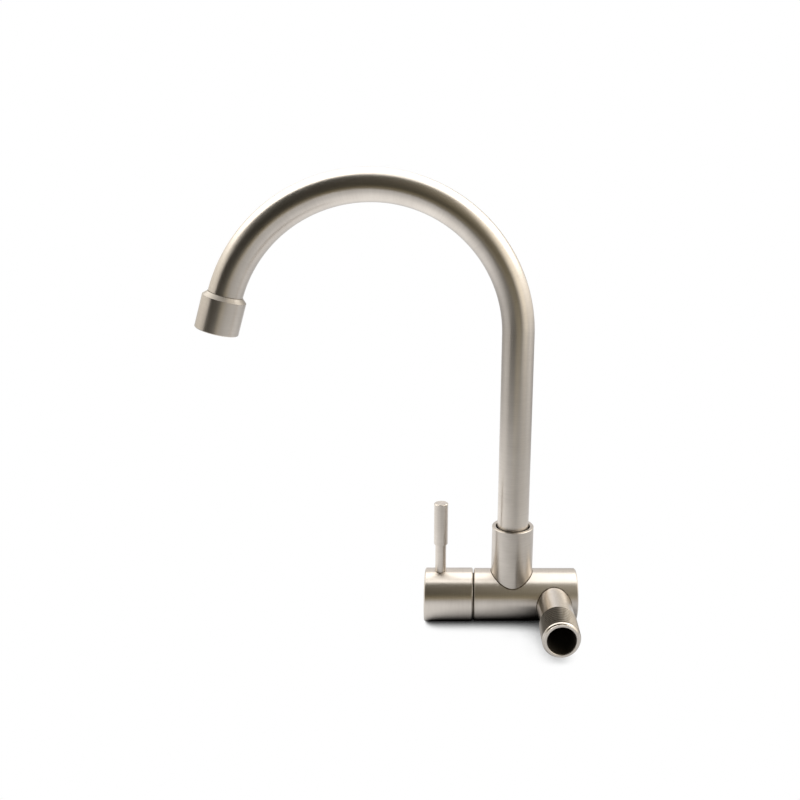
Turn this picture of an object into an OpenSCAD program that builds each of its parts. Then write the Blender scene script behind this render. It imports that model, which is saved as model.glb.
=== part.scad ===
// Wall-mounted cold-water kitchen faucet with a swivelling swan neck and a quarter-turn handle.
// Every piece is a solid of its own, as it comes apart on a bench. Sizes are in millimetres.
// The origin is the centre of the inlet thread's shoulder, in the plane of the wall.
// +Y runs into the wall, +X to the handle and +Z up, with the spout swung over the handle.

/* [Body] */
// Diameter of the bar that the body is turned from
body_d = 30; // [28:0.5:36]
// From the inlet axis to the blind end of the body
body_tail = 14; // [13:0.5:24]
// From the inlet axis to the spout axis
spout_offset = 24; // [22:0.5:40]
// From the spout axis to the handle end of the body
body_front = 22; // [19:0.5:25]
// Chamfer on the turned outer edges
edge_chamfer = 0.6; // [0.2:0.1:1]

/* [Inlet] */
// From the body axis to the wall, where the inlet thread starts
inlet_reach = 34; // [28:1:60]
// Major diameter of the inlet pipe thread
inlet_thread_d = 20.955; // [16.662, 20.955, 26.441]
// Length of the inlet thread with its end chamfer
inlet_thread_l = 18; // [10:0.5:24]
// Chamfer at the mouth end of the inlet thread
thread_chamfer = 1; // [0.5:0.1:1.2]
// How far the plain stem lies below the crests of the thread
stem_relief = 0.48; // [0.3:0.01:1.5]
// Wall from the thread's crests to the bore of the inlet
inlet_wall = 2.73; // [2.3:0.01:3.5]

/* [Spout socket] */
// Height of the socket's rim above the top of the body
socket_h = 28; // [26:0.5:40]
// Floor of the socket above the top of the body
socket_floor = 4.5; // [2:0.5:6]
// Wall of the socket
socket_wall = 2.2; // [2:0.1:2.8]
// Ring gap between the spout tube and the socket's bore
rim_gap = 0.8; // [0.5:0.1:1.2]
// Water passage from the body up into the socket
passage_d = 12; // [9:0.5:13]

/* [Spout] */
// Outside diameter of the spout tube
tube_d = 18; // [16:0.5:20]
// Wall of the spout tube
tube_wall = 1; // [0.8:0.1:1.2]
// Straight part of the tube, from the socket's rim to the start of the bend
riser_l = 111.5; // [40:0.5:200]
// Radius of the bend up to the crown, at the tube's centre line
bend_rise_r = 78; // [50:1:120]
// Radius of the bend after the crown
bend_fall_r = 83; // [50:1:120]
// How far the outlet leans out from straight down
outlet_lean = 16; // [0:1:40]
// Straight tip of the tube after the bend, skimmed for the outlet sleeve
tip_l = 5; // [5:0.5:20]
// How far the tube reaches down into the socket
tube_entry = 4.5; // [2:0.5:6]
// Neck of the spigot that is brazed into the tube
spigot_neck = 8; // [5:0.5:15]
// Wall of the spigot's neck
spigot_wall = 2.15; // [1.9:0.05:2.4]

/* [Outlet] */
// Wall of the outlet sleeve over the tube
sleeve_wall = 2.4; // [2.2:0.1:3.5]
// Length of the sleeve's full diameter
sleeve_l = 18.3; // [16:0.1:24]
// How far the sleeve reaches back over the tube's tip and the end of the bend
sleeve_cover = 6.15; // [5:0.05:7]
// Wall of the sleeve round the aerator
sleeve_thread_wall = 1.5; // [1.2:0.1:1.6]
// Depth of the aerator's face inside the sleeve
aerator_recess = 0.6; // [0.2:0.1:2]
// Height of the honeycomb at the outlet
grille_h = 2.8; // [1.5:0.1:4]
// Rings of cells round the middle cell of the honeycomb
grille_rings = 3; // [2:1:4]
// Wall between the cells of the honeycomb
grille_wall = 0.35; // [0.25:0.05:0.6]
// Jets in the aerator's core
jet_count = 12; // [6:1:16]

/* [Headwork] */
// Major diameter of the thread that holds the headwork
headwork_thread_d = 20.955; // [19:0.005:22]
// Length of that thread
headwork_thread_l = 9.8; // [7:0.1:11]
// From the handle end of the body down to the valve seat
headwork_depth = 31.5; // [30.5:0.5:34]
// Thickness of each ceramic disc
disc_t = 3.5; // [3:0.1:4]
// Angle of each port in the discs
port_a = 70; // [50:1:80]
// Height of the outflow windows in the headwork
window_l = 4.5; // [3:0.1:5]
// Diameter of the spindle
spindle_d = 9.9; // [9:0.1:11]
// Across the flats of the headwork's hexagon
hex_af = 21; // [19:0.5:21.5]
// Height of the hexagon
hex_l = 4; // [3:0.5:7]
// Height of the plain neck above the hexagon
neck_l = 2.5; // [1.5:0.5:5]
// Turn between the handle's stops
turn_a = 90; // [60:5:90]
// Teeth of the spline that carries the handle
spline_teeth = 20; // [16:1:24]

/* [Handle] */
// How far the handle's hub stands proud of the body all round
hub_proud = 0.2; // [0:0.1:1]
// Gap between the body and the hub
hub_gap = 0.7; // [0.4:0.1:1.5]
// Solid length of the hub beyond its cavity
hub_l = 16.9; // [15:0.1:24]
// From the outer end of the hub to the lever's axis
lever_inset = 9; // [7:0.5:10]
// Diameter of the lever's stem
stem_d = 6.3; // [5.5:0.1:7]
// Length of the stem that shows
stem_l = 16.5; // [8:0.5:30]
// Diameter of the lever's grip
grip_d = 8; // [7:0.5:12]
// Length of the grip
grip_l = 24.75; // [15:0.25:40]
// Diameter of the screws in the hub, at the lever's foot and below
hub_screw_d = 5; // [4:0.5:5]

/* [Hidden] */
$fn = 96;

// Clearances
run_fit = 0.05;
swivel_fit = 0.08;
joint_fit = 0.05;
loose = 0.2;
over = 1;

// Colours of the materials
steel = [0.74, 0.72, 0.68];
brass = [0.80, 0.67, 0.38];
ceramic = [0.93, 0.92, 0.89];
rubber = [0.13, 0.13, 0.14];
white_plastic = [0.90, 0.90, 0.88];
spring_steel = [0.55, 0.55, 0.56];

// Body and inlet
body_r = body_d / 2;
split_x = spout_offset + body_front;
seat_x = split_x - headwork_depth;
thread_r = inlet_thread_d / 2;
stem_r = thread_r - stem_relief;
inlet_bore_r = thread_r - inlet_wall;
inlet_overrun = 3;
mouth_chamfer = 0.4;
passage_r = passage_d / 2;

// Spout and socket, with heights above the body axis
tube_r = tube_d / 2;
tube_bore_r = tube_r - tube_wall;
socket_bore_r = tube_r + rim_gap;
socket_r = socket_bore_r + socket_wall;
socket_top = body_r + socket_h;
floor_z = body_r + socket_floor;
tube_z = socket_top - tube_entry;
bend_z = socket_top + riser_l;
washer_t = 1;
spigot_z = floor_z + washer_t;
spigot_r = socket_bore_r - swivel_fit;
spigot_bore_r = tube_bore_r - spigot_wall;
o_ring_depth = 2.2;
o_ring_groove = 2.6;
groove_r = socket_bore_r - o_ring_depth;
spigot_ring_drop = 3.2;
spigot_ring_pitch = 4.6;
upper_ring_z = tube_z - spigot_ring_drop;
lower_ring_z = upper_ring_z - spigot_ring_pitch;
snap_t = 1.6;
snap_z = spigot_z + 3;
snap_in_r = spigot_r - 1.2;
snap_out_r = socket_bore_r + 0.5;
snap_gap_a = 60;

// Bend of the tube, whose two arcs meet level at the crown
crown_x = spout_offset + bend_rise_r;
fall_z = bend_z + bend_rise_r - bend_fall_r;
outlet_a = 180 - outlet_lean;
outlet_x = crown_x + bend_fall_r * cos(outlet_lean);
outlet_z = fall_z + bend_fall_r * sin(outlet_lean);
tip_grip = 1;

// Outlet, with places measured along the flow from the end of the bend
sleeve_r = tube_r + sleeve_wall;
sleeve_top = tip_l - sleeve_cover;
sleeve_bevel = sleeve_wall;
sleeve_end = sleeve_top + sleeve_bevel + sleeve_l;
sleeve_bore_r = sleeve_r - sleeve_thread_wall;
ledge_t = 1.5;
ledge_z = tip_l + ledge_t;
gasket_t = 1.5;
core_z = ledge_z + gasket_t;
aerator_end = sleeve_end - aerator_recess;
lip_t = 0.8;
ring_r = sleeve_bore_r - joint_fit;
ring_in_r = ring_r - 1.15;
lip_r = ring_in_r - 0.6;
core_r = ring_in_r - joint_fit;
grille_z = aerator_end - lip_t - grille_h;
core_t = 3;
skirt_t = 1;
screen_t = 0.5;
screen_r = core_r - skirt_t - joint_fit;
grille_rim = 0.5;
cell_pitch = 2 * (core_r - grille_rim) / (2 * grille_rings + 1.1);
key_w = 2;

// Headwork, with places along the body
bore_fit = 0.07;
head_thread_r = headwork_thread_d / 2;
chamber_r = head_thread_r + bore_fit;
nose_r = head_thread_r - 1.28;
cavity_r = nose_r - 1.2;
disc_r = cavity_r - 0.1;
seat_r = cavity_r - 2.5;
seal_h = 3.5;
nose_gap = 1.5;
nose_x = seat_x + nose_gap;
fixed_x = seat_x + seal_h;
moving_x = fixed_x + disc_t;
blade_x = moving_x + disc_t;
collar_x = blade_x + window_l;
collar_t = 1;
thrust_x = collar_x + collar_t;
thrust_t = 0.5;
cavity_x = thrust_x + thrust_t;
collar_r = cavity_r - 0.6;
port_in_r = 1.8;
port_out_r = disc_r - 1.6;
window_a = 100;
lug_w = 3;
lug_r = nose_r - 0.1;
blade_t = 3;
blade_w = 2 * (disc_r - 1.4);
blade_in = 0.9;
spindle_r = spindle_d / 2;
spindle_bore_r = spindle_r + run_fit;
spindle_ring_depth = 1.2;
spindle_ring_groove = 1.5;
spindle_ring_rise = 4.5;
spindle_ring_pitch = 5;
inner_ring_x = cavity_x + spindle_ring_rise;
outer_ring_x = inner_ring_x + spindle_ring_pitch;
undercut_l = 2.2;
thread_end_x = split_x - undercut_l;
sink_r = head_thread_r + 1.12;
sink_depth = undercut_l - 0.1;
undercut_r = head_thread_r - 0.88;
flange_r = head_thread_r + 1.72;
flange_t = 2;
hex_x = split_x + flange_t;
hex_r = hex_af / 2 / cos(30);
neck_x = hex_x + hex_l + neck_l;
neck_r = spindle_bore_r + 2.6;
stop_t = 1.5;
stop_x = neck_x + 0.1;
stop_r = spindle_r + 1;
stop_lug_r = neck_r - 0.2;
stop_lug_a = 24;
stop_play = 1;
stop_rim_r = stop_r + 0.2;
rim_x = neck_x + stop_t - loose;
stop_flats = spindle_d - 1.4;
clip_x = stop_x + stop_t;
clip_t = 0.8;
clip_r = spindle_r + 1.2;
clip_in_r = spindle_r - 0.7;
clip_gap_a = 70;
shoulder_x = clip_x + clip_t + 0.7;
spline_tip_r = spindle_r - 0.95;
spline_root_r = spline_tip_r - 0.4;

// Handle
hub_r = body_r + hub_proud;
hub_x = split_x + hub_gap;
hub_end = shoulder_x + hub_l;
hub_cavity_r = flange_r + 1;
hub_crown = 5;
spline_end = hub_end - hub_crown;
lever_x = hub_end - lever_inset;
lever_r = stem_d / 2;
grip_r = grip_d / 2;
foot_sink = 1.2;
foot_gap = 0.15;
screw_r = hub_screw_d / 2;
foot_l = 5;
step_z = hub_r + stem_l;
lever_top = step_z + grip_l;
grub_sink = 4.15;
grub_top = -spline_tip_r - joint_fit;
grub_l = hub_r + grub_top - grub_sink;
grub_socket_l = 2.5;
hex_key = screw_r * 0.58;
lever_chamfer = 0.4;

// A turned piece on the body axis, from points of radius and place along X
module turned_x(points) {
    translate([0, -inlet_reach, 0])
        rotate([0, 90, 0])
            rotate_extrude()
                polygon(points);
}

// A turned piece on the spout axis, from points of radius and height
module turned_z(points) {
    translate([spout_offset, -inlet_reach, 0])
        rotate_extrude()
            polygon(points);
}

// Carries what is drawn upright onto the body axis at x
module on_body(x) {
    translate([x, -inlet_reach, 0])
        rotate([0, 90, 0])
            children();
}

// Carries what is drawn upright onto the outlet, where its Z follows the flow
module on_outlet() {
    translate([outlet_x, -inlet_reach, outlet_z])
        rotate([0, outlet_a, 0])
            children();
}

// A part of a ring, symmetrical about the direction mid
module ring_part(in_r, out_r, h, angle, mid) {
    rotate([0, 0, mid - angle / 2])
        rotate_extrude(angle = angle)
            translate([in_r, 0])
                square([out_r - in_r, h]);
}

// A round rubber ring that fills the gap between two radii
module o_ring(in_r, out_r) {
    rotate_extrude()
        translate([(in_r + out_r) / 2, 0])
            circle(r = (out_r - in_r) / 2 - run_fit, $fn = 32);
}

// The outside of the body, which the brazed tubes are coped to
module body_envelope() {
    on_body(-body_tail)
        cylinder(r = body_r, h = split_x + body_tail);
}

// Bar with the valve chamber bored from the handle end, the inlet hole and the hole up to the socket
module body_barrel() {
    c = edge_chamfer;
    color(steel)
        difference() {
            turned_x([
                [0, -body_tail], [body_r - c, -body_tail], [body_r, c - body_tail],
                [body_r, split_x - c], [body_r - c, split_x], [sink_r, split_x],
                [sink_r, split_x - sink_depth], [chamber_r, split_x - sink_depth],
                [chamber_r, seat_x], [seat_r, seat_x], [seat_r, 0], [0, 0]
            ]);
            translate([0, -inlet_reach - inlet_overrun, 0])
                rotate([-90, 0, 0])
                    cylinder(r = inlet_bore_r, h = inlet_overrun + body_r + over);
            translate([spout_offset, -inlet_reach, 0])
                cylinder(r = passage_r, h = body_r + over);
        }
}

// Upright socket with a saddle foot that is brazed to the body
module spout_socket() {
    c = edge_chamfer / 2;
    color(steel)
        difference() {
            turned_z([
                [passage_r, 0], [socket_r, 0], [socket_r, socket_top - c],
                [socket_r - c, socket_top], [socket_bore_r + c, socket_top],
                [socket_bore_r, socket_top - c], [socket_bore_r, snap_z + snap_t + loose],
                [snap_out_r + loose, snap_z + snap_t + loose],
                [snap_out_r + loose, snap_z - loose], [socket_bore_r, snap_z - loose],
                [socket_bore_r, floor_z], [passage_r, floor_z]
            ]);
            body_envelope();
        }
}

// Inlet pipe with a saddle foot, its thread drawn as a cylinder of the major diameter
module inlet_nipple() {
    end = inlet_thread_l;
    color(steel)
        difference() {
            rotate([-90, 0, 0])
                rotate_extrude()
                    polygon([
                        [inlet_bore_r, -inlet_reach], [stem_r, -inlet_reach], [stem_r, 0],
                        [thread_r, 0], [thread_r, end - thread_chamfer],
                        [thread_r - thread_chamfer, end], [inlet_bore_r + mouth_chamfer, end],
                        [inlet_bore_r, end - mouth_chamfer]
                    ]);
            body_envelope();
        }
}

// Brass housing of the quarter-turn valve, screwed into the body
module headwork_body() {
    start = thread_end_x - headwork_thread_l;
    color(brass)
        difference() {
            union() {
                turned_x([
                    [0, nose_x], [nose_r, nose_x], [nose_r, start], [head_thread_r, start],
                    [head_thread_r, thread_end_x], [undercut_r, thread_end_x],
                    [undercut_r, split_x], [flange_r, split_x], [flange_r, hex_x],
                    [neck_r, hex_x], [neck_r, rim_x], [0, rim_x]
                ]);
                on_body(hex_x)
                    cylinder(r = hex_r, h = hex_l, $fn = 6);
            }
            on_body(neck_x)
                cylinder(r = stop_rim_r, h = stop_t);
            on_body(neck_x)
                ring_part(stop_rim_r - loose, neck_r + over, stop_t,
                    turn_a + stop_lug_a + 2 * stop_play, 0);
            on_body(nose_x - over)
                cylinder(r = cavity_r, h = cavity_x - nose_x + over);
            on_body(cavity_x - over)
                cylinder(r = spindle_bore_r, h = neck_x - cavity_x + 2 * over);
            for (mid = [0, 180])
                on_body(blade_x + loose)
                    ring_part(cavity_r - over, nose_r + over, window_l - 2 * loose, window_a, mid);
            for (side = [0, 180])
                on_body(nose_x - over)
                    rotate([0, 0, side])
                        translate([cavity_r - over, -lug_w / 2 - joint_fit, 0])
                            cube([3 * over, lug_w + 2 * joint_fit, moving_x - nose_x + over]);
        }
}

// Rubber ring under the headwork's flange
module headwork_o_ring() {
    color(rubber)
        on_body(split_x - sink_depth / 2)
            o_ring(undercut_r, sink_r);
}

// Rubber cup that presses on the valve seat
module seat_seal() {
    color(rubber)
        turned_x([
            [seat_r, seat_x], [disc_r - 0.6, seat_x], [disc_r, seat_x + 0.6],
            [disc_r, fixed_x], [seat_r, fixed_x]
        ]);
}

// A ceramic disc with two ports, its ports turned to the direction mid
module ported_disc(x, mid) {
    difference() {
        on_body(x)
            cylinder(r = disc_r, h = disc_t);
        for (side = [0, 180])
            on_body(x - over)
                ring_part(port_in_r, port_out_r, disc_t + 2 * over, port_a, mid + side);
    }
}

// Ceramic disc that lugs hold still in the headwork's nose
module fixed_disc() {
    color(ceramic) {
        ported_disc(fixed_x, 90);
        for (side = [0, 180])
            on_body(fixed_x)
                rotate([0, 0, side])
                    difference() {
                        translate([cavity_r - over, -lug_w / 2, 0])
                            cube([lug_r - cavity_r + over, lug_w, disc_t - loose]);
                        translate([0, 0, -over])
                            cylinder(r = disc_r - joint_fit, h = disc_t + 2 * over);
                    }
    }
}

// Slip ring between the spindle's collar and the headwork
module thrust_washer() {
    color(white_plastic)
        turned_x([
            [spindle_bore_r + 0.1, thrust_x], [collar_r, thrust_x], [collar_r, cavity_x],
            [spindle_bore_r + 0.1, cavity_x]
        ]);
}

// Slip ring on the socket's floor, on which the spout turns
module swivel_washer() {
    color(white_plastic)
        turned_z([
            [passage_r + loose, floor_z], [socket_bore_r - loose, floor_z],
            [socket_bore_r - loose, spigot_z], [passage_r + loose, spigot_z]
        ]);
}

// Toothed outline of the spline, widened by a gap
module spline_outline(gap) {
    polygon([
        for (i = [0 : 2 * spline_teeth - 1])
            let (r = (i % 2 == 0 ? spline_tip_r : spline_root_r) + gap, a = i * 180 / spline_teeth)
                [r * cos(a), r * sin(a)]
    ]);
}

// Brass spindle with its drive blade, thrust collar, ring grooves, stop flats and spline
module spindle() {
    g = spindle_ring_groove / 2;
    floor_r = spindle_bore_r - spindle_ring_depth;
    color(brass)
        difference() {
            union() {
                turned_x([
                    [0, collar_x], [collar_r, collar_x], [collar_r, thrust_x],
                    [spindle_r, thrust_x], [spindle_r, inner_ring_x - g],
                    [floor_r, inner_ring_x - g], [floor_r, inner_ring_x + g],
                    [spindle_r, inner_ring_x + g], [spindle_r, outer_ring_x - g],
                    [floor_r, outer_ring_x - g], [floor_r, outer_ring_x + g],
                    [spindle_r, outer_ring_x + g], [spindle_r, clip_x], [clip_in_r, clip_x],
                    [clip_in_r, clip_x + clip_t], [spindle_r, clip_x + clip_t],
                    [spindle_r, shoulder_x], [0, shoulder_x]
                ]);
                on_body(blade_x - blade_in)
                    translate([-blade_t / 2, -blade_w / 2, 0])
                        cube([blade_t, blade_w, collar_x - blade_x + blade_in + collar_t / 2]);
                on_body(shoulder_x)
                    linear_extrude(spline_end - shoulder_x)
                        spline_outline(0);
            }
            for (side = [0, 180])
                on_body(stop_x)
                    rotate([0, 0, side])
                        translate([stop_flats / 2, -spindle_r, 0])
                            cube([spindle_r, spindle_d, stop_t]);
        }
}

// Rubber ring in one of the spindle's grooves
module spindle_o_ring(x) {
    color(rubber)
        on_body(x)
            o_ring(spindle_bore_r - spindle_ring_depth, spindle_bore_r);
}

// Ceramic disc that the spindle's blade turns, with its ports closed at rest
module moving_disc() {
    color(ceramic)
        difference() {
            ported_disc(moving_x, 0);
            on_body(blade_x - blade_in - joint_fit)
                translate([-blade_t / 2 - joint_fit, -disc_r - over, 0])
                    cube([blade_t + 2 * joint_fit, 2 * disc_r + 2 * over, 2 * over]);
        }
}

// Keyed washer whose lug runs between the ends of the headwork's rim
module stop_washer() {
    color(spring_steel)
        difference() {
            union() {
                on_body(stop_x)
                    cylinder(r = stop_r, h = stop_t);
                on_body(stop_x)
                    ring_part(spindle_r, stop_lug_r, stop_t, stop_lug_a, -turn_a / 2);
            }
            on_body(stop_x - over)
                intersection() {
                    cylinder(r = spindle_r + joint_fit, h = stop_t + 2 * over);
                    translate([-stop_flats / 2 - joint_fit, -spindle_d, 0])
                        cube([stop_flats + 2 * joint_fit, 2 * spindle_d, stop_t + 2 * over]);
                }
        }
}

// Open ring that keeps the spindle in the headwork
module spindle_clip() {
    color(spring_steel)
        on_body(clip_x)
            ring_part(clip_in_r + joint_fit, clip_r, clip_t, 360 - clip_gap_a, 180);
}

// Cylindrical hub that covers the headwork and sits on the spindle's spline
module handle_hub() {
    c = edge_chamfer;
    color(steel)
        difference() {
            turned_x([
                [0, shoulder_x], [hub_cavity_r, shoulder_x], [hub_cavity_r, hub_x],
                [hub_r - c, hub_x], [hub_r, hub_x + c], [hub_r, hub_end - c],
                [hub_r - c, hub_end], [0, hub_end]
            ]);
            on_body(shoulder_x - over)
                linear_extrude(spline_end - shoulder_x + 2 * over)
                    spline_outline(joint_fit);
            translate([lever_x, -inlet_reach, 0]) {
                translate([0, 0, hub_r - foot_sink])
                    cylinder(r = lever_r + foot_gap, h = foot_sink + over);
                translate([0, 0, hub_r - foot_sink - foot_l - loose])
                    cylinder(r = screw_r + joint_fit, h = foot_l + over);
                translate([0, 0, -hub_r - over])
                    cylinder(r = screw_r + joint_fit, h = hub_r + over);
            }
        }
}

// Turned lever with a thin stem, a thicker grip and a threaded foot
module lever_pin() {
    c = lever_chamfer;
    foot_z = hub_r - foot_sink;
    color(steel)
        translate([lever_x, -inlet_reach, 0])
            rotate_extrude()
                polygon([
                    [0, foot_z - foot_l], [screw_r, foot_z - foot_l], [screw_r, foot_z],
                    [lever_r, foot_z], [lever_r, step_z], [grip_r - c / 2, step_z],
                    [grip_r, step_z + c / 2], [grip_r, lever_top - c], [grip_r - c, lever_top],
                    [0, lever_top]
                ]);
}

// Socket screw that pins the hub to the spindle from below
module hub_grub_screw() {
    color(spring_steel)
        translate([lever_x, -inlet_reach, grub_top - grub_l])
            difference() {
                cylinder(r = screw_r, h = grub_l);
                translate([0, 0, -over])
                    cylinder(r = hex_key, h = grub_socket_l + over, $fn = 6);
            }
}

// Cross-section of the spout tube, with its wall skimmed on both sides
module tube_section(skim) {
    difference() {
        circle(r = tube_r - skim);
        circle(r = tube_bore_r + skim);
    }
}

// An arc of the tube about the crown's plane, from the angle start on
module tube_arc(radius, z, start, angle) {
    translate([crown_x, -inlet_reach, z])
        rotate([90, 0, 180])
            rotate([0, 0, start])
                rotate_extrude(angle = angle)
                    translate([radius, 0])
                        tube_section(0);
}

// Swan neck drawn from one tube, bent to a tighter radius before the crown than after it
module spout_tube() {
    color(steel) {
        translate([spout_offset, -inlet_reach, tube_z])
            linear_extrude(bend_z - tube_z)
                tube_section(0);
        tube_arc(bend_rise_r, bend_z, 0, 90);
        tube_arc(bend_fall_r, fall_z, 90, 90 - outlet_lean);
        on_outlet()
            translate([0, 0, -tip_grip])
                linear_extrude(tip_l + tip_grip)
                    tube_section(joint_fit);
    }
}

// Turned foot of the spout, brazed into the tube, with grooves for its rings
module spout_spigot() {
    g = o_ring_groove / 2;
    color(steel)
        turned_z([
            [spigot_bore_r, spigot_z], [spigot_r, spigot_z], [spigot_r, snap_z - loose / 2],
            [snap_in_r - loose / 2, snap_z - loose / 2],
            [snap_in_r - loose / 2, snap_z + snap_t + loose / 2],
            [spigot_r, snap_z + snap_t + loose / 2], [spigot_r, lower_ring_z - g],
            [groove_r, lower_ring_z - g], [groove_r, lower_ring_z + g],
            [spigot_r, lower_ring_z + g], [spigot_r, upper_ring_z - g],
            [groove_r, upper_ring_z - g], [groove_r, upper_ring_z + g],
            [spigot_r, upper_ring_z + g], [spigot_r, tube_z],
            [tube_bore_r - joint_fit, tube_z], [tube_bore_r - joint_fit, tube_z + spigot_neck],
            [spigot_bore_r, tube_z + spigot_neck]
        ]);
}

// Rubber ring in one of the spigot's grooves
module spigot_o_ring(z) {
    color(rubber)
        translate([spout_offset, -inlet_reach, z])
            o_ring(groove_r, socket_bore_r);
}

// Split ring that snaps into the socket and keeps the spout down
module snap_ring() {
    color(spring_steel)
        translate([spout_offset, -inlet_reach, snap_z])
            ring_part(snap_in_r, snap_out_r, snap_t, 360 - snap_gap_a, 90);
}

// Bevelled sleeve brazed over the tube's tip, threaded inside for the aerator
module outlet_sleeve() {
    c = mouth_chamfer;
    color(steel)
        on_outlet()
            rotate_extrude()
                polygon([
                    [tube_r, sleeve_top], [sleeve_r, sleeve_top + sleeve_bevel],
                    [sleeve_r, sleeve_end - c], [sleeve_r - c, sleeve_end],
                    [sleeve_bore_r + c, sleeve_end], [sleeve_bore_r, sleeve_end - c],
                    [sleeve_bore_r, ledge_z], [tube_bore_r, ledge_z], [tube_bore_r, tip_l],
                    [tube_r, tip_l]
                ]);
}

// Rubber gasket between the sleeve's ledge and the aerator
module aerator_washer() {
    color(rubber)
        on_outlet()
            translate([0, 0, ledge_z])
                rotate_extrude()
                    translate([tube_bore_r - 1, 0])
                        square([sleeve_bore_r - loose - tube_bore_r + 1, gasket_t]);
}

// Threaded ring that holds the aerator, with two notches for its key
module aerator_ring() {
    color(brass)
        on_outlet()
            difference() {
                rotate_extrude()
                    polygon([
                        [ring_in_r, core_z], [ring_r, core_z], [ring_r, aerator_end],
                        [lip_r, aerator_end], [lip_r, aerator_end - lip_t],
                        [ring_in_r, aerator_end - lip_t]
                    ]);
                for (side = [0, 90])
                    rotate([0, 0, side])
                        translate([-sleeve_r, -key_w / 2, aerator_end - lip_t / 2])
                            cube([2 * sleeve_r, key_w, lip_t]);
            }
}

// Plastic core with the jets that draw air in, and a skirt that holds the screen
module aerator_core() {
    jet_r = 0.6;
    jet_ring_r = core_r * 0.62;
    color(white_plastic)
        on_outlet()
            difference() {
                rotate_extrude()
                    polygon([
                        [0, core_z], [core_r, core_z], [core_r, grille_z],
                        [core_r - skirt_t, grille_z], [core_r - skirt_t, core_z + core_t],
                        [0, core_z + core_t]
                    ]);
                for (i = [0 : jet_count - 1])
                    rotate([0, 0, i * 360 / jet_count])
                        translate([jet_ring_r, 0, core_z - over])
                            cylinder(r = jet_r, h = core_t + 2 * over);
            }
}

// Fine screen on the core, drawn as a plain disc
module aerator_screen() {
    color(spring_steel)
        on_outlet()
            translate([0, 0, core_z + core_t])
                cylinder(r = screen_r, h = screen_t);
}

// Honeycomb at the outlet
module aerator_grille() {
    cell_r = (cell_pitch - grille_wall) / 2 / cos(30);
    color(white_plastic)
        on_outlet()
            translate([0, 0, grille_z])
                difference() {
                    cylinder(r = core_r, h = grille_h);
                    for (q = [-grille_rings : grille_rings], s = [-grille_rings : grille_rings])
                        if (abs(q + s) <= grille_rings)
                            translate([cell_pitch * (q + s / 2), cell_pitch * s * sin(60), -over])
                                rotate([0, 0, 30])
                                    cylinder(r = cell_r, h = grille_h + 2 * over, $fn = 6);
                }
}

body_barrel();
spout_socket();
inlet_nipple();
headwork_body();
headwork_o_ring();
seat_seal();
fixed_disc();
thrust_washer();
swivel_washer();
spindle();
spindle_o_ring(inner_ring_x);  // spindle_o_ring_inner
spindle_o_ring(outer_ring_x);  // spindle_o_ring_outer
moving_disc();
stop_washer();
spindle_clip();
handle_hub();
lever_pin();
hub_grub_screw();
spout_tube();
spout_spigot();
spigot_o_ring(lower_ring_z);  // spigot_o_ring_lower
spigot_o_ring(upper_ring_z);  // spigot_o_ring_upper
snap_ring();
outlet_sleeve();
aerator_washer();
aerator_ring();
aerator_core();
aerator_screen();
aerator_grille();
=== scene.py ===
import math
import bmesh
import bpy
from mathutils import Matrix, Vector


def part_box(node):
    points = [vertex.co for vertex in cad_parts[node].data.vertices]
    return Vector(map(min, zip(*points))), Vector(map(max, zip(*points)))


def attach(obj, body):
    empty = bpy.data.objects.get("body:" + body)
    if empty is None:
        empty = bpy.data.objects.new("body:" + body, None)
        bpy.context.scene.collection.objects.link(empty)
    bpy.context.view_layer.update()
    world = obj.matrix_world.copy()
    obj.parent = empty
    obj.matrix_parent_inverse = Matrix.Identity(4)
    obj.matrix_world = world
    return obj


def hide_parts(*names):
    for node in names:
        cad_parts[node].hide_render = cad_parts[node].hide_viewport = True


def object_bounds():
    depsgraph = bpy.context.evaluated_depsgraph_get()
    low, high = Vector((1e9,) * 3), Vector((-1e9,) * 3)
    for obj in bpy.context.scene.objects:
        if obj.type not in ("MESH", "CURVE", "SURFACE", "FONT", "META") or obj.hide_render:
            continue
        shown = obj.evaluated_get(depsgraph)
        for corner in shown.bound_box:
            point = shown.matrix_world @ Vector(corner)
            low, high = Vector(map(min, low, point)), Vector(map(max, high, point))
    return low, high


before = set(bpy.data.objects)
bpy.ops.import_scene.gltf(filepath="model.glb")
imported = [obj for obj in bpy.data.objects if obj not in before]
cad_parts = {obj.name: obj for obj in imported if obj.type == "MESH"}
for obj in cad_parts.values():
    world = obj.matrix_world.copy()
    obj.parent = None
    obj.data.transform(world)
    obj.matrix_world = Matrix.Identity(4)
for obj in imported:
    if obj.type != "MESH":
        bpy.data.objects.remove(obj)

cad_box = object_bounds()

# BODY BARREL
# A length of stainless bar, turned and bored, with its outside brushed round on a belt. The grain
# runs round the bar, so a light draws out along it. The bored end holds dark grease, whose colour
# also paints the shade inside the bore.
barrel_low, barrel_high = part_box("body_barrel")
body_radius = (barrel_high.z - barrel_low.z) / 2
body_axis = Vector((0, (barrel_low.y + barrel_high.y) / 2, 0))
split = barrel_high.x
along_x, along_y, along_z = Matrix.Identity(3)
steel_pale = (0.672, 0.622, 0.566, 1)
steel_deep = (0.585, 0.538, 0.488, 1)
steel_roughness = 0.315
body_roughness = 0.34
steel_pull = 0.60
quarter_turn = 0.25
steel_grain = 0.0007
steel_stroke = 0.010
wear_size = 0.016
hair_share = 0.45
polish_swing = 0.035
scratch_strength = 0.03
scratch_depth = 0.00002
# Dark grease colour: real grease that also paints the shade in bores and gaps, and the painted dark reflections
# on the thread's top and the sleeve's bevel.
grease_and_painted_shade = (0.100, 0.088, 0.072, 1)
grease_and_shade_roughness = 0.55
# The thread gets thin grime all round and a painted dark reflection on the side this way faces.
painted_reflection_side = (0.62, 0, 0.78)
grime_and_reflection_ramp = (0.66, 0.90, 0.32, 0.84)
# How far the sleeve's bevel is painted dark, as a reflection.
dark_bevel_share = 0.5
film_edge = 0.0002
film_overlap = 0.001
end_face = 0.0143
body_film_length = 0.034


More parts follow.
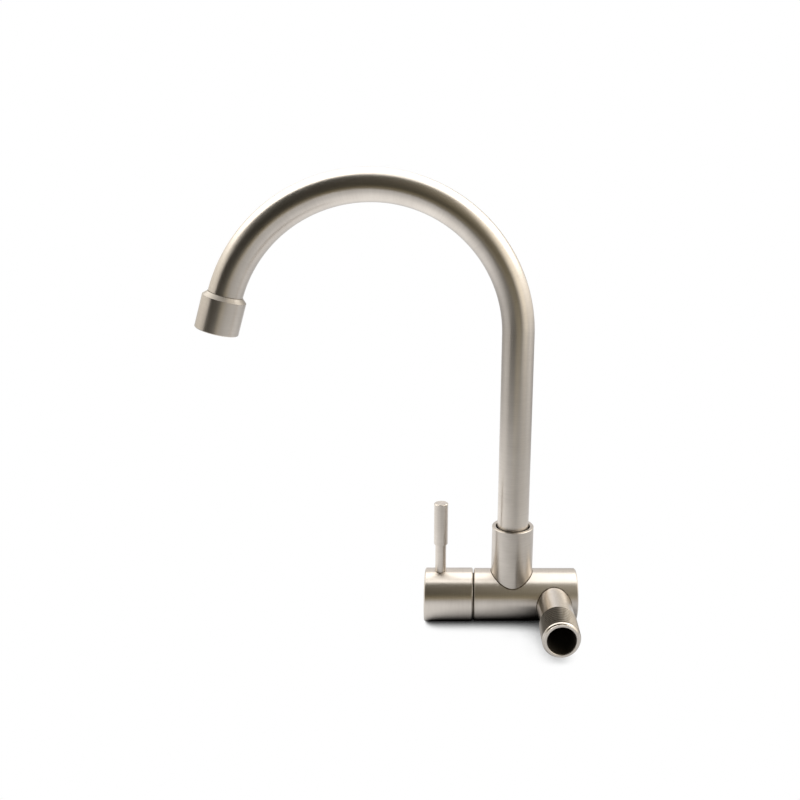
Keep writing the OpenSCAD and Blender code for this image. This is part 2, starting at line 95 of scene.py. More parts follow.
def shade(tree, kind, sockets=(), **settings):
    """A shader node with its settings, and its inputs given as values or as other nodes' outputs."""
    made = tree.nodes.new(kind)
    for name, value in settings.items():
        setattr(made, name, value)
    for place, value in dict(sockets).items():
        if isinstance(value, bpy.types.NodeSocket):
            tree.links.new(value, made.inputs[place])
        else:
            made.inputs[place].default_value = value
    return made.outputs


def reckon(tree, operation, first, second=0.0):
    """A sum on numbers."""
    return shade(tree, "ShaderNodeMath", {0: first, 1: second}, operation=operation)[0]


def steer(tree, operation, first, second=(0, 0, 0), scale=1.0):
    """A sum on directions: a number for a dot product or a length, and else a direction."""
    found = shade(tree, "ShaderNodeVectorMath", {0: first, 1: second, 3: scale}, operation=operation)
    return found[1] if operation in ("DOT_PRODUCT", "LENGTH") else found[0]


def spread(tree, value, low, high, start=0.0, end=1.0, ease="LINEAR"):
    """A ramp from start, where the value is low, to end, where it is high."""
    return shade(tree, "ShaderNodeMapRange", {0: value, 1: low, 2: high, 3: start, 4: end},
                 interpolation_type=ease)[0]


def blend(tree, share, first, second):
    """The first colour where share is 0 and the second where it is 1."""
    return shade(tree, "ShaderNodeMix", {0: share, 6: first, 7: second}, data_type="RGBA")[2]


def place_on(tree):
    return shade(tree, "ShaderNodeTexCoord")["Object"]


def blotches(tree, place, scale, detail, rough=0.5):
    return shade(tree, "ShaderNodeTexNoise", {
        "Vector": place, "Scale": scale, "Detail": detail, "Roughness": rough})[0]


def mark(tree, shader, height, strength, depth):
    """A fine relief of the surface."""
    relief = shade(tree, "ShaderNodeBump", {"Strength": strength, "Distance": depth, "Height": height})[0]
    tree.links.new(relief, shader.inputs["Normal"])


def coat(tree, shader, colour, polish):
    tree.links.new(colour, shader.inputs["Base Color"])
    tree.links.new(polish, shader.inputs["Roughness"])


def new_finish(name):
    finish = bpy.data.materials.new(name)
    finish.use_nodes = True
    return finish, finish.node_tree, finish.node_tree.nodes["Principled BSDF"]


def round_a_line(tree, point, way):
    """For a turned piece: the way out from its axis, how far out, how far along, and the way round."""
    arm = steer(tree, "SUBTRACT", place_on(tree), point)
    along = steer(tree, "DOT_PRODUCT", arm, way)
    out = steer(tree, "SUBTRACT", arm, steer(tree, "SCALE", way, scale=along))
    return out, steer(tree, "LENGTH", out), along, steer(tree, "CROSS_PRODUCT", way, out)


def brush(tree, shader, lines, pale, deep, roughness):
    """Fine lines and slow clouds of wear, in the colour, the polish and the relief."""
    hair = blotches(tree, lines, 1.0, 3.0, 0.65)
    cloud = blotches(tree, place_on(tree), 1 / wear_size, 2.0)
    worn = shade(tree, "ShaderNodeMix", {0: hair_share, 2: cloud, 3: hair})[0]
    mark(tree, shader, hair, scratch_strength, scratch_depth)
    shader.inputs["Metallic"].default_value = 1.0
    return (blend(tree, spread(tree, worn, 0.32, 0.68), deep, pale),
            spread(tree, worn, 0.3, 0.7, roughness + polish_swing, roughness - polish_swing))


def grime_and_painted_reflection(tree, out, radius):
    """How dark the thread is: thin grime all round, and a painted dark reflection thickening it on its upper
    side.
    """
    top = reckon(tree, "DIVIDE", steer(tree, "DOT_PRODUCT", out, painted_reflection_side), radius)
    return spread(tree, top, *grime_and_reflection_ramp, "SMOOTHSTEP")


def turned_metal(name, point, way, pale=steel_pale, deep=steel_deep, roughness=steel_roughness,
                 grease_shade=None, pull=steel_pull, grime_reflection_patch=None, dark_bevel_patch=None):
    """Metal brushed round an axis. A grease shade is dark grease whose colour also paints the shade in
    bores and gaps, from and to a radius and a place along. A grime patch is thin grime all round with a
    painted dark reflection on its upper side, and a dark bevel is a painted dark reflection."""
    finish, tree, shader = new_finish(name)
    out, radius, along, around = round_a_line(tree, point, way)
    run = reckon(tree, "DIVIDE", reckon(tree, "ADD", along, radius), steel_grain)
    lines = steer(tree, "ADD", steer(tree, "SCALE", out, scale=1 / steel_stroke),
                  steer(tree, "SCALE", way, scale=run))
    colour, polish = brush(tree, shader, lines, pale, deep, roughness)
    grime_reflection_share = grime_and_painted_reflection(tree, out, radius) if grime_reflection_patch else 0
    for patch, share in ((grease_shade, 1.0), (grime_reflection_patch, grime_reflection_share), (dark_bevel_patch, dark_bevel_share)):
        if not patch:
            continue
        inner, outer, low, high = patch
        covered = share
        for edge in (spread(tree, radius, inner - film_edge, inner),
                     spread(tree, radius, outer, outer + film_edge, 1, 0),
                     spread(tree, along, low - film_edge, low),
                     spread(tree, along, high, high + film_edge, 1, 0)):
            covered = reckon(tree, "MULTIPLY", edge, covered)
        colour = blend(tree, covered, colour, grease_and_painted_shade)
        polish = shade(tree, "ShaderNodeMix", {0: covered, 2: polish, 3: grease_and_shade_roughness})[0]
    coat(tree, shader, colour, polish)
    turned = shade(tree, "ShaderNodeVectorTransform", {0: around}, vector_type="VECTOR",
                   convert_from="OBJECT", convert_to="WORLD")[0]
    tree.links.new(steer(tree, "NORMALIZE", turned), shader.inputs["Tangent"])
    shader.inputs["Anisotropic"].default_value = pull
    shader.inputs["Anisotropic Rotation"].default_value = quarter_turn
    return finish


def dress(node, finish):
    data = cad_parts[node].data
    data.materials.clear()
    data.materials.append(finish)


dress("body_barrel", turned_metal(
    "body brushed steel", body_axis, along_x, roughness=body_roughness,
    grease_shade=(0, end_face, split - body_film_length, split + film_overlap)))

# SPOUT SOCKET
# A short tube coped to the body and brazed to it, brushed round its own upright axis, in a darker
# copy of the steel's colour as painted shade. The spout's foot turns in its greased bore, whose dark
# grease also paints the shade inside, and the braze shows as a thin dark line round the saddle.
socket_low, socket_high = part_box("spout_socket")
socket_radius = (socket_high.x - socket_low.x) / 2
socket_bore = 0.0098
socket_floor = 0.010
socket_axis = Vector(((socket_low.x + socket_high.x) / 2, body_axis.y, 0))
socket_shaded_pale = (0.60, 0.555, 0.505, 1)
socket_shaded_deep = (0.50, 0.460, 0.417, 1)
film_slack = 0.0001
film_stop = 0.0003
braze_thickness = 0.00036
braze_sides = 10
braze_steps = 180
braze_pale = (0.200, 0.165, 0.125, 1)
braze_deep = (0.085, 0.070, 0.055, 1)
scorch_scale = 900.0
scorch_depth = 0.00005


def turns(count):
    return [math.tau * k / count for k in range(count)]


def body_skin(off):
    """How far the body's round skin stands from its axis, this far off the middle."""
    return math.sqrt(body_radius ** 2 - off ** 2)


def skin(bm, rings):
    """Quads over rings of points that close round and from the last ring to the first."""
    for before, after in zip(rings[-1:] + rings[:-1], rings):
        for k in range(len(after)):
            bm.faces.new((before[k - 1], before[k], after[k], after[k - 1])).smooth = True
    bmesh.ops.recalc_face_normals(bm, faces=bm.faces)


def keep(name, bm):
    mesh = bpy.data.meshes.new(name)
    bm.to_mesh(mesh)
    bm.free()
    piece = bpy.data.objects.new(name, mesh)
    bpy.context.scene.collection.objects.link(piece)
    return piece


def place_piece(piece, finish, body, slot, *nodes):
    piece.data.materials.append(finish)
    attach(piece, body)
    if nodes:
        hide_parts(*nodes)


def bead(name, loop, thickness):
    """A round bead along a closed loop of points."""
    bm = bmesh.new()
    middle = sum(loop, Vector()) / len(loop)
    rings = []
    for i, point in enumerate(loop):
        way = (loop[(i + 1) % len(loop)] - loop[i - 1]).normalized()
        out = point - middle
        out = (out - way * out.dot(way)).normalized()
        side = way.cross(out)
        rings.append([bm.verts.new(point + thickness * (math.cos(a) * out + math.sin(a) * side))
                      for a in turns(braze_sides)])
    skin(bm, rings)
    return keep(name, bm)


def braze_metal(name):
    """Filler metal that ran into the joint, dull and darkened by the torch."""
    finish, tree, shader = new_finish(name)
    scorch = blotches(tree, place_on(tree), scorch_scale, 3.0)
    coat(tree, shader, blend(tree, spread(tree, scorch, 0.35, 0.7), braze_deep, braze_pale),
         spread(tree, scorch, 0.3, 0.7, 0.55, 0.38))
    mark(tree, shader, scorch, 0.3, scorch_depth)
    shader.inputs["Metallic"].default_value = 1.0
    return finish


braze = braze_metal("torch darkened braze")
dress("spout_socket", turned_metal(
    "socket brushed steel", socket_axis, along_z, socket_shaded_pale, socket_shaded_deep,
    grease_shade=(0, socket_bore + film_slack, socket_floor, socket_high.z - film_stop)))
saddle = []
for turn in turns(braze_steps):
    side = socket_radius * math.sin(turn)
    saddle.append(socket_axis + Vector((socket_radius * math.cos(turn), side, body_skin(side))))
place_piece(bead("socket_braze", saddle, braze_thickness), braze, "body", "steel")

# INLET NIPPLE
# A pipe coped and brazed to the back of the body, with a 1/2 inch male pipe thread cut on it that
# screws into the wall. The thread's crests and roots are rounded, as the 55 degree form has them.
nipple_low, nipple_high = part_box("inlet_nipple")
crest_radius = (nipple_high.x - nipple_low.x) / 2
thread_length = nipple_high.y
thread_pitch = 0.001814
thread_depth = 0.001162
crest_flat = 0.00011
stem_radius = 0.0099975
stem_collar = 0.0006
stem_step = 0.0001
bore_radius = 0.00775
bore_film_start = -0.040
shoulder_slope = 1.2
mouth_chamfer = 0.0011
chamfer_slope = 0.58
bore_chamfer = 0.0004
grime_reflection_inset = 0.001
grime_reflection_start = 0.0003
clean_mouth = 0.0021
nipple_roughness = 0.24
nipple_pull = 0.5
thread_rows = 190
thread_sides = 128
corner_angle = math.radians(38)


def thread_radius(turn, y):
    """How far out the thread's surface lies, with a sloped shoulder and a chamfered mouth."""
    phase = (y / thread_pitch - turn / math.tau) % 1.0
    off_crest = min(phase, 1 - phase) * thread_pitch
    fall = (off_crest - crest_flat) / (thread_pitch / 2 - 2 * crest_flat)
    fall = min(max(fall, 0.0), 1.0)
    fall = 0.5 * fall + 0.5 * fall * fall * (3 - 2 * fall)
    cut = crest_radius - thread_depth * fall
    shoulder = stem_radius + stem_step + shoulder_slope * y
    mouth = crest_radius - mouth_chamfer + chamfer_slope * (thread_length - y)
    return min(cut, shoulder, mouth)


bm = bmesh.new()
sides = []
for turn in turns(thread_sides):
    flank = [(stem_radius, body_axis.y + body_skin(stem_radius * math.sin(turn)))]
    flank += [(stem_radius, -stem_collar), (stem_radius, 0.0)]
    for i in range(thread_rows):
        y = thread_length * (i + 1) / thread_rows
        flank.append((thread_radius(turn, y), y))
    flank += [(bore_radius + bore_chamfer, thread_length), (bore_radius, thread_length - bore_chamfer)]
    flank.append((bore_radius, body_axis.y + body_skin(bore_radius * math.sin(turn))))
    sides.append([bm.verts.new((r * math.cos(turn), y, r * math.sin(turn))) for r, y in flank])
skin(bm, sides)
nipple = keep("threaded_nipple", bm)
nipple.data.set_sharp_from_angle(angle=corner_angle)
# The nipple's bore is darkened with grease colour as painted shade, and its thread with thin grime and a
# painted dark reflection on top.
place_piece(nipple, turned_metal(
    "inlet turned steel", Vector((0, 0, 0)), along_y, roughness=nipple_roughness, pull=nipple_pull,
    grease_shade=(0, bore_radius + film_slack, bore_film_start, thread_length - film_stop),
    grime_reflection_patch=(bore_radius + grime_reflection_inset, crest_radius, grime_reflection_start, thread_length - clean_mouth)),
    "body", "steel", "inlet_nipple")
foot = []
for turn in turns(braze_steps):
    up = stem_radius * math.sin(turn)
    foot.append(Vector((stem_radius * math.cos(turn), body_axis.y + body_skin(up), up)))
place_piece(bead("inlet_braze", foot, braze_thickness), braze, "body", "steel")

# HEADWORK HOUSING AND SPINDLE
# Hot-stamped brass, turned all over. The flange holds grease, whose dark colour paints the shade in
# the gap between the body and the hub as a dark line, and the spindle's spline carries the hub.
brass_pale = (0.560, 0.390, 0.170, 1)
brass_deep = (0.400, 0.265, 0.100, 1)
brass_roughness = 0.34
flange_inner = 0.0112
flange_width = 0.003
flange_grease_shade = (flange_inner, body_radius, split - film_overlap, split + flange_width)
for node, grease_shade in (("headwork_body", flange_grease_shade), ("spindle", None)):
    dress(node, turned_metal(
        node.replace("_", " ") + " turned brass", body_axis, along_x,
        brass_pale, brass_deep, brass_roughness, grease_shade))

# CERAMIC DISCS
# Pressed and fired alumina with lapped faces, off-white and almost mirror smooth. One is held in
# the housing by its lugs, and the spindle's blade turns the other on it.
ceramic_pale = (0.860, 0.845, 0.800, 1)
ceramic_deep = (0.740, 0.720, 0.665, 1)


def moulded(name, pale, deep, speck, roughness, relief=0.1):
    """A fired or moulded stuff, with slow changes of colour and a fine uneven skin."""
    finish, tree, shader = new_finish(name)
    place = place_on(tree)
    fine = blotches(tree, place, 1 / speck, 3.0)
    mottle = shade(tree, "ShaderNodeMix", {0: 0.5, 2: blotches(tree, place, 0.12 / speck, 2.0), 3: fine})[0]
    coat(tree, shader, blend(tree, spread(tree, mottle, 0.35, 0.65), deep, pale),
         spread(tree, mottle, 0.3, 0.7, roughness * 1.15, roughness * 0.85))
    mark(tree, shader, fine, relief, speck / 8)
    return finish


ceramic = moulded("lapped ceramic", ceramic_pale, ceramic_deep, speck=0.0004, roughness=0.16, relief=0.03)
for node in ("fixed_disc", "moving_disc"):
    dress(node, ceramic)

# SEALS
# Rings and cups of moulded black nitrile rubber, dull and a little dusty, in the headwork, on the
# spindle, on the spout's foot and under the aerator.
rubber_pale = (0.042, 0.042, 0.044, 1)
rubber_deep = (0.018, 0.018, 0.020, 1)
rubber = moulded("black nitrile rubber", rubber_pale, rubber_deep, speck=0.0003, roughness=0.62, relief=0.25)
for node in ("headwork_o_ring", "seat_seal", "spindle_o_ring_inner", "spindle_o_ring_outer",
             "spigot_o_ring_lower", "spigot_o_ring_upper", "aerator_washer"):
    dress(node, rubber)

# SLIP RINGS
# Thin washers punched from white acetal, under the spindle's collar and under the spout's foot.
acetal_pale = (0.800, 0.795, 0.770, 1)
acetal_deep = (0.690, 0.685, 0.655, 1)
acetal = moulded("white acetal", acetal_pale, acetal_deep, speck=0.0005, roughness=0.38)
for node in ("thrust_washer", "swivel_washer"):
    dress(node, acetal)

# STOP WASHER, CLIP, SNAP RING AND GRUB SCREW
# Small hardened parts: a stamped washer, two sprung rings and a black-oxide socket screw. Their
# steel is greyer and duller than the stainless pieces, with the marks of the tumbling barrel.
spring_pale = (0.360, 0.360, 0.365, 1)
spring_deep = (0.210, 0.210, 0.220, 1)
knock_scale = 2600.0
knock_depth = 0.00004
dull_scale = 500.0


def tumbled_steel(name):
    finish, tree, shader = new_finish(name)
    place = place_on(tree)
    cloud = blotches(tree, place, dull_scale, 4.0)
    coat(tree, shader, blend(tree, spread(tree, cloud, 0.35, 0.65), spring_deep, spring_pale),
         spread(tree, cloud, 0.3, 0.7, 0.50, 0.32))
    knocks = shade(tree, "ShaderNodeTexVoronoi", {"Vector": place, "Scale": knock_scale})[0]
    mark(tree, shader, knocks, 0.2, knock_depth)
    shader.inputs["Metallic"].default_value = 1.0
    return finish


tumbled = tumbled_steel("tumbled spring steel")
for node in ("stop_washer", "spindle_clip", "snap_ring", "hub_grub_screw"):
    dress(node, tumbled)

# HANDLE HUB AND LEVER
# The hub is turned from bar, hollowed over the headwork and brushed round like the body. The lever
# is a pin turned down to a thinner stem, and its threaded foot is screwed into the hub.
hub_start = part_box("handle_hub")[0].x
hub_film_length = 0.0105
lever_low, lever_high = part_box("lever_pin")
lever_axis = Vector(((lever_low.x + lever_high.x) / 2, body_axis.y, 0))
# The hub's hollow is darkened with the grease colour, as painted shade inside it.
dress("handle_hub", turned_metal(
    "hub brushed steel", body_axis, along_x,
    grease_shade=(0, end_face, hub_start - film_overlap, hub_start + hub_film_length)))
dress("lever_pin", turned_metal("lever brushed steel", lever_axis, along_z))

# SPOUT FOOT
# A stainless bush turned with its ring grooves and brazed into the neck. It turns in the socket,
# and is greased all over, the grease's dark colour painting the shade down in the socket.
spigot_roughness = 0.4
spigot_grease_shade = (0, 0.010, 0.020, 0.039)
dress("spout_spigot", turned_metal(
    "spigot greased steel", socket_axis, along_z, roughness=spigot_roughness, grease_shade=spigot_grease_shade))

# SPOUT TUBE
# One drawn tube, bent in two arcs that meet at the crown, and brushed round by belt along its
# whole length.
tube_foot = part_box("spout_tube")[0].z
tube_radius = 0.009
tube_bore = 0.008
bend_start = 0.1545
rise_radius = 0.078
fall_radius = 0.083
outlet_lean = math.radians(16)
tip_length = 0.005
tube_sides = 128
bend_step = math.radians(0.75)


def neck_path():
    """Points of the tube's centre line with the way it runs, from its foot to its tip."""
    path = [(Vector((socket_axis.x, socket_axis.y, tube_foot)), along_z)]
    for radius, height, first, last in (
        (rise_radius, bend_start, 0, math.pi / 2),
        (fall_radius, bend_start + rise_radius - fall_radius, math.pi / 2, math.pi - outlet_lean),
    ):
        middle = Vector((socket_axis.x + rise_radius, socket_axis.y, height))
        steps = math.ceil((last - first) / bend_step)
        for i in range(steps + 1):
            turn = first + (last - first) * i / steps
            out = Vector((-math.cos(turn), 0, math.sin(turn)))
            if i or not first:
                path.append((middle + out * radius, Vector((math.sin(turn), 0, math.cos(turn)))))
    end, way = path[-1]
    return path + [(end + way * tip_length, way)]


def swept_tube(name, path, outer, inner):
    """A tube along the path, with the length along it and the turn round it as its map."""
    bm = bmesh.new()
    run = bm.loops.layers.uv.new("run")
    lengths = [0.0]
    for (a, _), (b, _) in zip(path, path[1:]):
        lengths.append(lengths[-1] + (b - a).length)
    rows = []
    for radius, order in ((outer, 1), (inner, -1)):
        for (centre, way), length in list(zip(path, lengths))[::order]:
            up = way.cross(along_y)
            rows.append((length, [bm.verts.new(centre + radius * (math.cos(a) * up + math.sin(a) * along_y))
                                  for a in turns(tube_sides)]))
    for (u0, before), (u1, after) in zip(rows, rows[1:] + rows[:1]):
        for k in range(tube_sides):
            j = (k + 1) % tube_sides
            face = bm.faces.new((before[k], before[j], after[j], after[k]))
            face.smooth = u0 != u1
            for loop, (u, v) in zip(face.loops, ((u0, k), (u0, k + 1), (u1, k + 1), (u1, k))):
                loop[run].uv = (u, v / tube_sides)
    bmesh.ops.recalc_face_normals(bm, faces=bm.faces)
    piece = keep(name, bm)
    piece.data.set_sharp_from_angle(angle=corner_angle)
    return piece


def neck_metal(name):
    """Steel brushed round a tube that carries its own length and turn."""
    finish, tree, shader = new_finish(name)
    along, turn, _ = shade(tree, "ShaderNodeSeparateXYZ", {0: shade(tree, "ShaderNodeUVMap", uv_map="run")[0]})
    angle = reckon(tree, "MULTIPLY", turn, math.tau)
    stroke = tube_radius / steel_stroke
    lines = shade(tree, "ShaderNodeCombineXYZ", {
        0: reckon(tree, "DIVIDE", along, steel_grain),
        1: reckon(tree, "MULTIPLY", reckon(tree, "COSINE", angle), stroke),
        2: reckon(tree, "MULTIPLY", reckon(tree, "SINE", angle), stroke)})[0]
    coat(tree, shader, *brush(tree, shader, lines, steel_pale, steel_deep, steel_roughness))
    tangent = shade(tree, "ShaderNodeTangent", direction_type="UV_MAP", uv_map="run")[0]
    tree.links.new(tangent, shader.inputs["Tangent"])
    shader.inputs["Anisotropic"].default_value = steel_pull
    return finish


neck_run = neck_path()
place_piece(swept_tube("swan_neck", neck_run, tube_radius, tube_bore),
            neck_metal("neck brushed steel"), "spout", "steel", "spout_tube")

# OUTLET SLEEVE
# A turned sleeve with a wide bevel, pushed over the neck's tip and brazed there. The bevel is
# painted half way to the grease colour as a dark reflection, and a thin dark braze line shows where
# it meets the tube. Dark grease inside the sleeve also paints the shade there.
tip, flow = neck_run[-1]
bend_end = neck_run[-2][0]
lean_side = flow.cross(along_y)
sleeve_cover = 0.00615
sleeve_bevel = 0.0024
sleeve_top = tip_length - sleeve_cover
sleeve_reach = 0.0116
sleeve_grease_shade = (0, 0.0100, 0.006, 0.0191)
sleeve_bead = 0.00016
dress("outlet_sleeve", turned_metal(
    "sleeve brushed steel", bend_end, flow, grease_shade=sleeve_grease_shade,
    dark_bevel_patch=(tube_radius, sleeve_reach, sleeve_top, sleeve_top + sleeve_bevel)))
collar = []
for turn in turns(braze_steps):
    out = math.cos(turn) * lean_side + math.sin(turn) * along_y
    collar.append(tip - flow * sleeve_cover + tube_radius * out)
place_piece(bead("sleeve_braze", collar, sleeve_bead), braze, "spout", "steel")

# AERATOR
# A brass ring screwed into the sleeve holds a moulded core with its jets, a woven wire screen and
# a honeycomb of white acetal that straightens the water.
dress("aerator_ring", turned_metal(
    "aerator turned brass", bend_end, flow, brass_pale, brass_deep, brass_roughness))
for node in ("aerator_core", "aerator_grille"):
    dress(node, acetal)
screen_low, screen_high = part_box("aerator_screen")
screen_centre = (screen_low + screen_high) / 2
screen_radius = (screen_high.y - screen_low.y) / 2
wire_radius = 0.00009
wire_pitch = 0.00055
wire_sides = 6
wire_steps = 4


def woven_screen(name):
    """Round wires both ways, each passing over and under the next."""
    bm = bmesh.new()
    count = int(screen_radius / wire_pitch)
    for down, over, first in ((lean_side, along_y, wire_radius), (along_y, lean_side, -wire_radius)):
        for row in range(-count, count + 1):
            reach = math.sqrt(screen_radius ** 2 - (row * wire_pitch) ** 2) - wire_radius
            if reach < wire_pitch:
                continue
            steps = wire_steps * math.ceil(reach / wire_pitch)
            ends = []
            for i in range(-steps, steps + 1):
                s = reach * i / steps
                wave = first * math.cos(math.pi * (s / wire_pitch + row))
                centre = screen_centre + down * s + over * (row * wire_pitch) + flow * wave
                ends.append([bm.verts.new(centre + wire_radius * (math.cos(a) * over + math.sin(a) * flow))
                             for a in turns(wire_sides)])
            for before, after in zip(ends, ends[1:]):
                for k in range(wire_sides):
                    bm.faces.new((before[k - 1], before[k], after[k], after[k - 1])).smooth = True
            bm.faces.new(ends[0])
            bm.faces.new(ends[-1])
    bmesh.ops.recalc_face_normals(bm, faces=bm.faces)
    return keep(name, bm)


place_piece(woven_screen("woven_screen"), tumbled, "spout", "spring_steel", "aerator_screen")

# TABLE
# The faucet stands on a wide white table. Seen straight it glows plain white but for a painted
# shadow, darkened where the faucet hides the sky nearby. What metal mirrors of it is a painted glow
# that changes with the place, brightest under the outlet and with a painted shadow near the faucet.
table_half = 6.0
table_middle = 0.04
table_white = (0.90, 0.90, 0.90, 1)
table_roughness = 0.7
shade_reach = 0.10
shadow_ramp = (0.03, 0.541, 0, 1)
contact_ramp = (0.28, 0.90, 0, 1)
left_ramp = (-0.36, -0.14, 0.52, 0.84)
middle_ramp = (-0.02, 0.09, 0, 0.42)
right_ramp = (0.18, 0.42, 1.25, 0.60)
far_ramp = (-0.84, -0.34, 0.84, 0.44)
front_ramp = (0.02, 0.23, 1, 0.62)
back_ramp = (-0.45, -0.15, 0.68, 1)


def rays(tree):
    """Whether a ray sees straight or through glass, and whether metal mirrors it."""
    ray = shade(tree, "ShaderNodeLightPath")
    return reckon(tree, "MAXIMUM", ray["Is Camera Ray"], ray["Is Transmission Ray"]), ray["Is Glossy Ray"]


def light(tree, strength):
    return shade(tree, "ShaderNodeEmission", {"Strength": strength})[0]


def choose(tree, share, first, second):
    """The first surface or sky where share is 0 and the second where it is 1."""
    return shade(tree, "ShaderNodeMixShader", {0: share, 1: first, 2: second})[0]


bm = bmesh.new()
bmesh.ops.create_grid(bm, x_segments=1, y_segments=1, size=table_half)
table = keep("table", bm)
table.location = (table_middle, body_axis.y, cad_box[0].z)
finish, tree, shader = new_finish("white table")
shader.inputs["Base Color"].default_value = table_white
shader.inputs["Roughness"].default_value = table_roughness
shader.inputs["Specular IOR Level"].default_value = 0.0
# Ambient occlusion here paints the faucet's shadow on the table.
open_sky = shade(tree, "ShaderNodeAmbientOcclusion", {"Distance": shade_reach}, samples=16)["AO"]
across, forward, _ = shade(tree, "ShaderNodeSeparateXYZ", {0: place_on(tree)})
rise = reckon(tree, "ADD", spread(tree, across, *left_ramp), spread(tree, across, *middle_ramp))
sideways = reckon(tree, "MINIMUM", rise, spread(tree, across, *right_ramp))
sideways = reckon(tree, "MAXIMUM", sideways, spread(tree, across, *far_ramp))
lengthways = reckon(tree, "MULTIPLY", spread(tree, forward, *front_ramp), spread(tree, forward, *back_ramp))
# A painted glow by place with a painted shadow near the faucet, for what metal mirrors.
mirrored = reckon(tree, "MULTIPLY", sideways, spread(tree, open_sky, *contact_ramp, "SMOOTHSTEP"))
mirrored = reckon(tree, "MULTIPLY", lengthways, mirrored)
straight, glossy = rays(tree)
lit = choose(tree, straight, shader.outputs[0], light(tree, spread(tree, open_sky, *shadow_ramp, "SMOOTHSTEP")))
lit = choose(tree, glossy, lit, light(tree, mirrored))
tree.links.new(lit, tree.nodes["Material Output"].inputs[0])
table.data.materials.append(finish)

# TENT
# White cloth round the table. It lights the faucet softly, and what metal mirrors of it is
# brighter at the sides, dimmer overhead and low down, and a little warm at the sides.
tent_light = 0.50
tent_colour = (1.0, 0.99, 0.97, 1)
cloth_middle = (1.0, 0.975, 0.965, 1)
cloth_side = (1.0, 0.95, 0.86, 1)
white = (1, 1, 1, 1)
side_ramp = (0.08, 0.30)
high_ramp = (0.45, 0.80)
centre_ramp = (0.20, 0.60, 1, 0)
overhead_ramp = (0, 1, 1.10, 0.62)
low_ramp = (0.10, 0.45, 0.74, 1)
one_side_ramp = (-0.70, -0.35, 1.45, 0.78)
other_side_ramp = (-0.12, 0.12, 0.78, 1.08)


def cloth(tree, colour, strength):
    return shade(tree, "ShaderNodeBackground", {"Color": colour, "Strength": strength})[0]


world = bpy.data.worlds.new("tent")
bpy.context.scene.world = world
world.use_nodes = True
tree = world.node_tree
heading, _, lift = shade(tree, "ShaderNodeSeparateXYZ", {0: shade(tree, "ShaderNodeTexCoord")["Generated"]})
sideward = reckon(tree, "ABSOLUTE", heading)
overhead = reckon(tree, "MULTIPLY", spread(tree, lift, *high_ramp), spread(tree, sideward, *centre_ramp))
lee = reckon(tree, "MAXIMUM", spread(tree, heading, *one_side_ramp), spread(tree, heading, *other_side_ramp))
folds = reckon(tree, "MULTIPLY", spread(tree, lift, *low_ramp), lee)
folds = reckon(tree, "MULTIPLY", spread(tree, overhead, *overhead_ramp), folds)
tint = blend(tree, spread(tree, sideward, *side_ramp), cloth_middle, cloth_side)
straight, glossy = rays(tree)
sky = choose(tree, straight, cloth(tree, tent_colour, tent_light), cloth(tree, white, 1.0))
sky = choose(tree, glossy, sky, cloth(tree, tint, folds))
tree.links.new(sky, tree.nodes["World Output"].inputs[0])

# LAMP SHEET
# The tent's roof, a wide white sheet with the lamps behind it.
lamp = bpy.data.lights.new("lamp sheet", "AREA")
lamp.shape = "RECTANGLE"
lamp.size = 1.9
lamp.size_y = 0.72
lamp.energy = 6.6
lamp.color = (1.0, 1.0, 0.98)
lamp_place = bpy.data.objects.new("lamp sheet", lamp)
lamp_place.location = (0.05, -0.245, 0.60)
lamp_place.visible_camera = False
bpy.context.scene.collection.objects.link(lamp_place)

# OPENING AND SIDE SHEET
# The camera looks in through an opening, a dark sheet with a faint warm glow, and a glowing sheet
# hangs beside it. Only metal mirrors them, as painted reflections; they light nothing.
opening_lip = (
    (-0.17, 0.385, 0.055), (0.05, 0.385, 0.036), (0.14, 0.380, -0.012),
    (0.30, 0.35, -0.012), (0.76, 0.31, -0.012))
opening_profile = ((0.395, 0.20), (0.375, 0.35), (0.31, 0.46), (0.21, 0.54), (0.10, 0.57))
room_glow = (1.0, 0.83, 0.45, 1)
glow_rise = (-0.10, -0.02, 0.10, 0.20)
glow_fall = (-0.02, 0.05, 0.20, 0.035)
glow_fade = (0.05, 0.20, 1, 0.35)
low_glow_rise = (-0.08, 0.07, 0.12, 0.34)
low_glow_fall = (0.10, 0.21, 0.34, 0.05)
low_glow_fade = (0.06, 0.18, 1, 0)
panel = ((-0.17, 0.10), (-1.00, 0.10), (-1.00, 0.75), (-0.17, 0.75))
panel_distance = 0.40
panel_glow = (1.0, 0.93, 0.79, 1)
panel_ramp = (-0.45, -0.17, 1.45, 0.50)


def glowing(name, colour):
    """Black stuff that only glows, with how far across and how far up it is seen."""
    finish, tree, shader = new_finish(name)
    shader.inputs["Base Color"].default_value = (0, 0, 0, 1)
    shader.inputs["Roughness"].default_value = 1.0
    shader.inputs["Emission Color"].default_value = colour
    reach, _, height = shade(tree, "ShaderNodeSeparateXYZ", {0: place_on(tree)})
    return finish, tree, shader.inputs["Emission Strength"], reach, height


def hump(tree, reach, up, down):
    return reckon(tree, "MINIMUM", spread(tree, reach, *up), spread(tree, reach, *down))


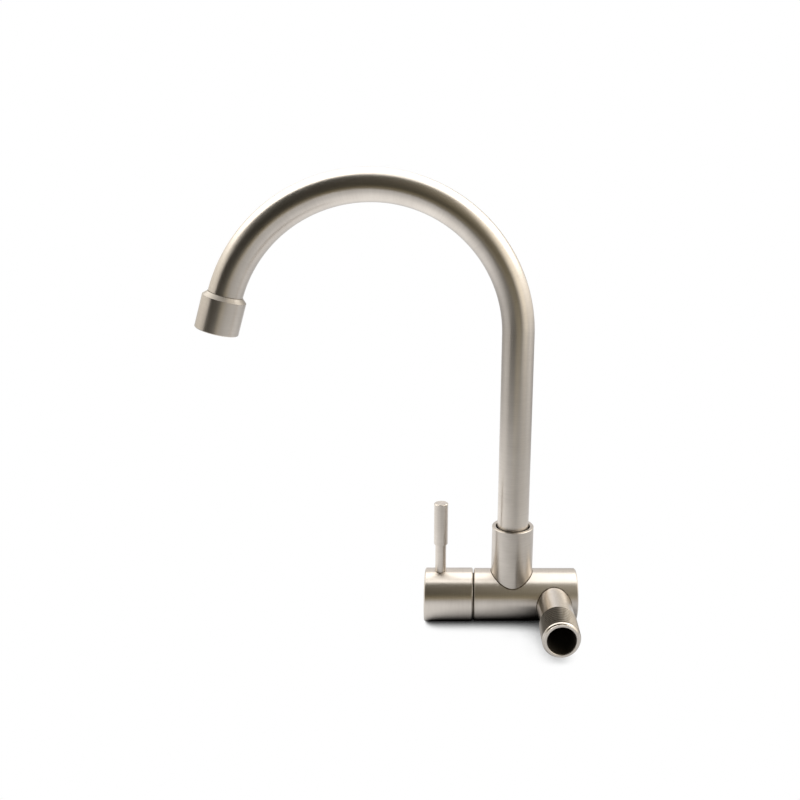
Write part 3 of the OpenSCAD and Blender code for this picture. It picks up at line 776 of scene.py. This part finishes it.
bm = bmesh.new()
edges = [[bm.verts.new(point) for point in opening_lip]]
edges += [[bm.verts.new((x, y, z)) for x, _, _ in opening_lip] for y, z in opening_profile]
for a, b in zip(edges, edges[1:]):
    for k in range(len(a) - 1):
        bm.faces.new((a[k], a[k + 1], b[k + 1], b[k]))
opening = keep("tent_opening", bm)
finish, tree, strength, reach, height = glowing("dark room", room_glow)
glow = reckon(tree, "MULTIPLY", hump(tree, reach, glow_rise, glow_fall), spread(tree, reach, *glow_fade))
low_glow = reckon(tree, "MULTIPLY", hump(tree, reach, low_glow_rise, low_glow_fall),
                  spread(tree, height, *low_glow_fade))
tree.links.new(reckon(tree, "ADD", glow, low_glow), strength)
opening.data.materials.append(finish)

bm = bmesh.new()
bm.faces.new([bm.verts.new((x, panel_distance, z)) for x, z in panel])
side_sheet = keep("side_sheet", bm)
finish, tree, strength, reach, _ = glowing("lit side sheet", panel_glow)
tree.links.new(spread(tree, reach, *panel_ramp), strength)
side_sheet.data.materials.append(finish)
for sheet in (opening, side_sheet):
    for sort in ("camera", "diffuse", "shadow", "transmission", "volume_scatter"):
        setattr(sheet, "visible_" + sort, False)

# CAMERA
# The photograph was taken from the wall side, a little above the spout's outlet.
camera_spot = (0.052511, 0.3773165, 0.2130998)
yaw, pitch, roll = 0.0527, -0.1979, 0.0255
camera = bpy.data.cameras.new("camera")
camera.sensor_width = 36.0
camera.lens = 34.000
camera.shift_x = -0.131096
camera.shift_y = -0.028448
camera.clip_start = 0.01
ahead = Vector((-math.sin(yaw) * math.cos(pitch), -math.cos(yaw) * math.cos(pitch), math.sin(pitch)))
level = Vector((-math.cos(yaw), math.sin(yaw), 0))
upward = level.cross(ahead)
right = math.cos(roll) * level + math.sin(roll) * upward
upright = -math.sin(roll) * level + math.cos(roll) * upward
camera_place = bpy.data.objects.new("camera", camera)
camera_place.matrix_world = Matrix.Translation(camera_spot) @ Matrix(
    (right, upright, -ahead)).transposed().to_4x4()
bpy.context.scene.collection.objects.link(camera_place)
bpy.context.scene.camera = camera_place
bpy.context.scene.view_settings.view_transform = "Standard"
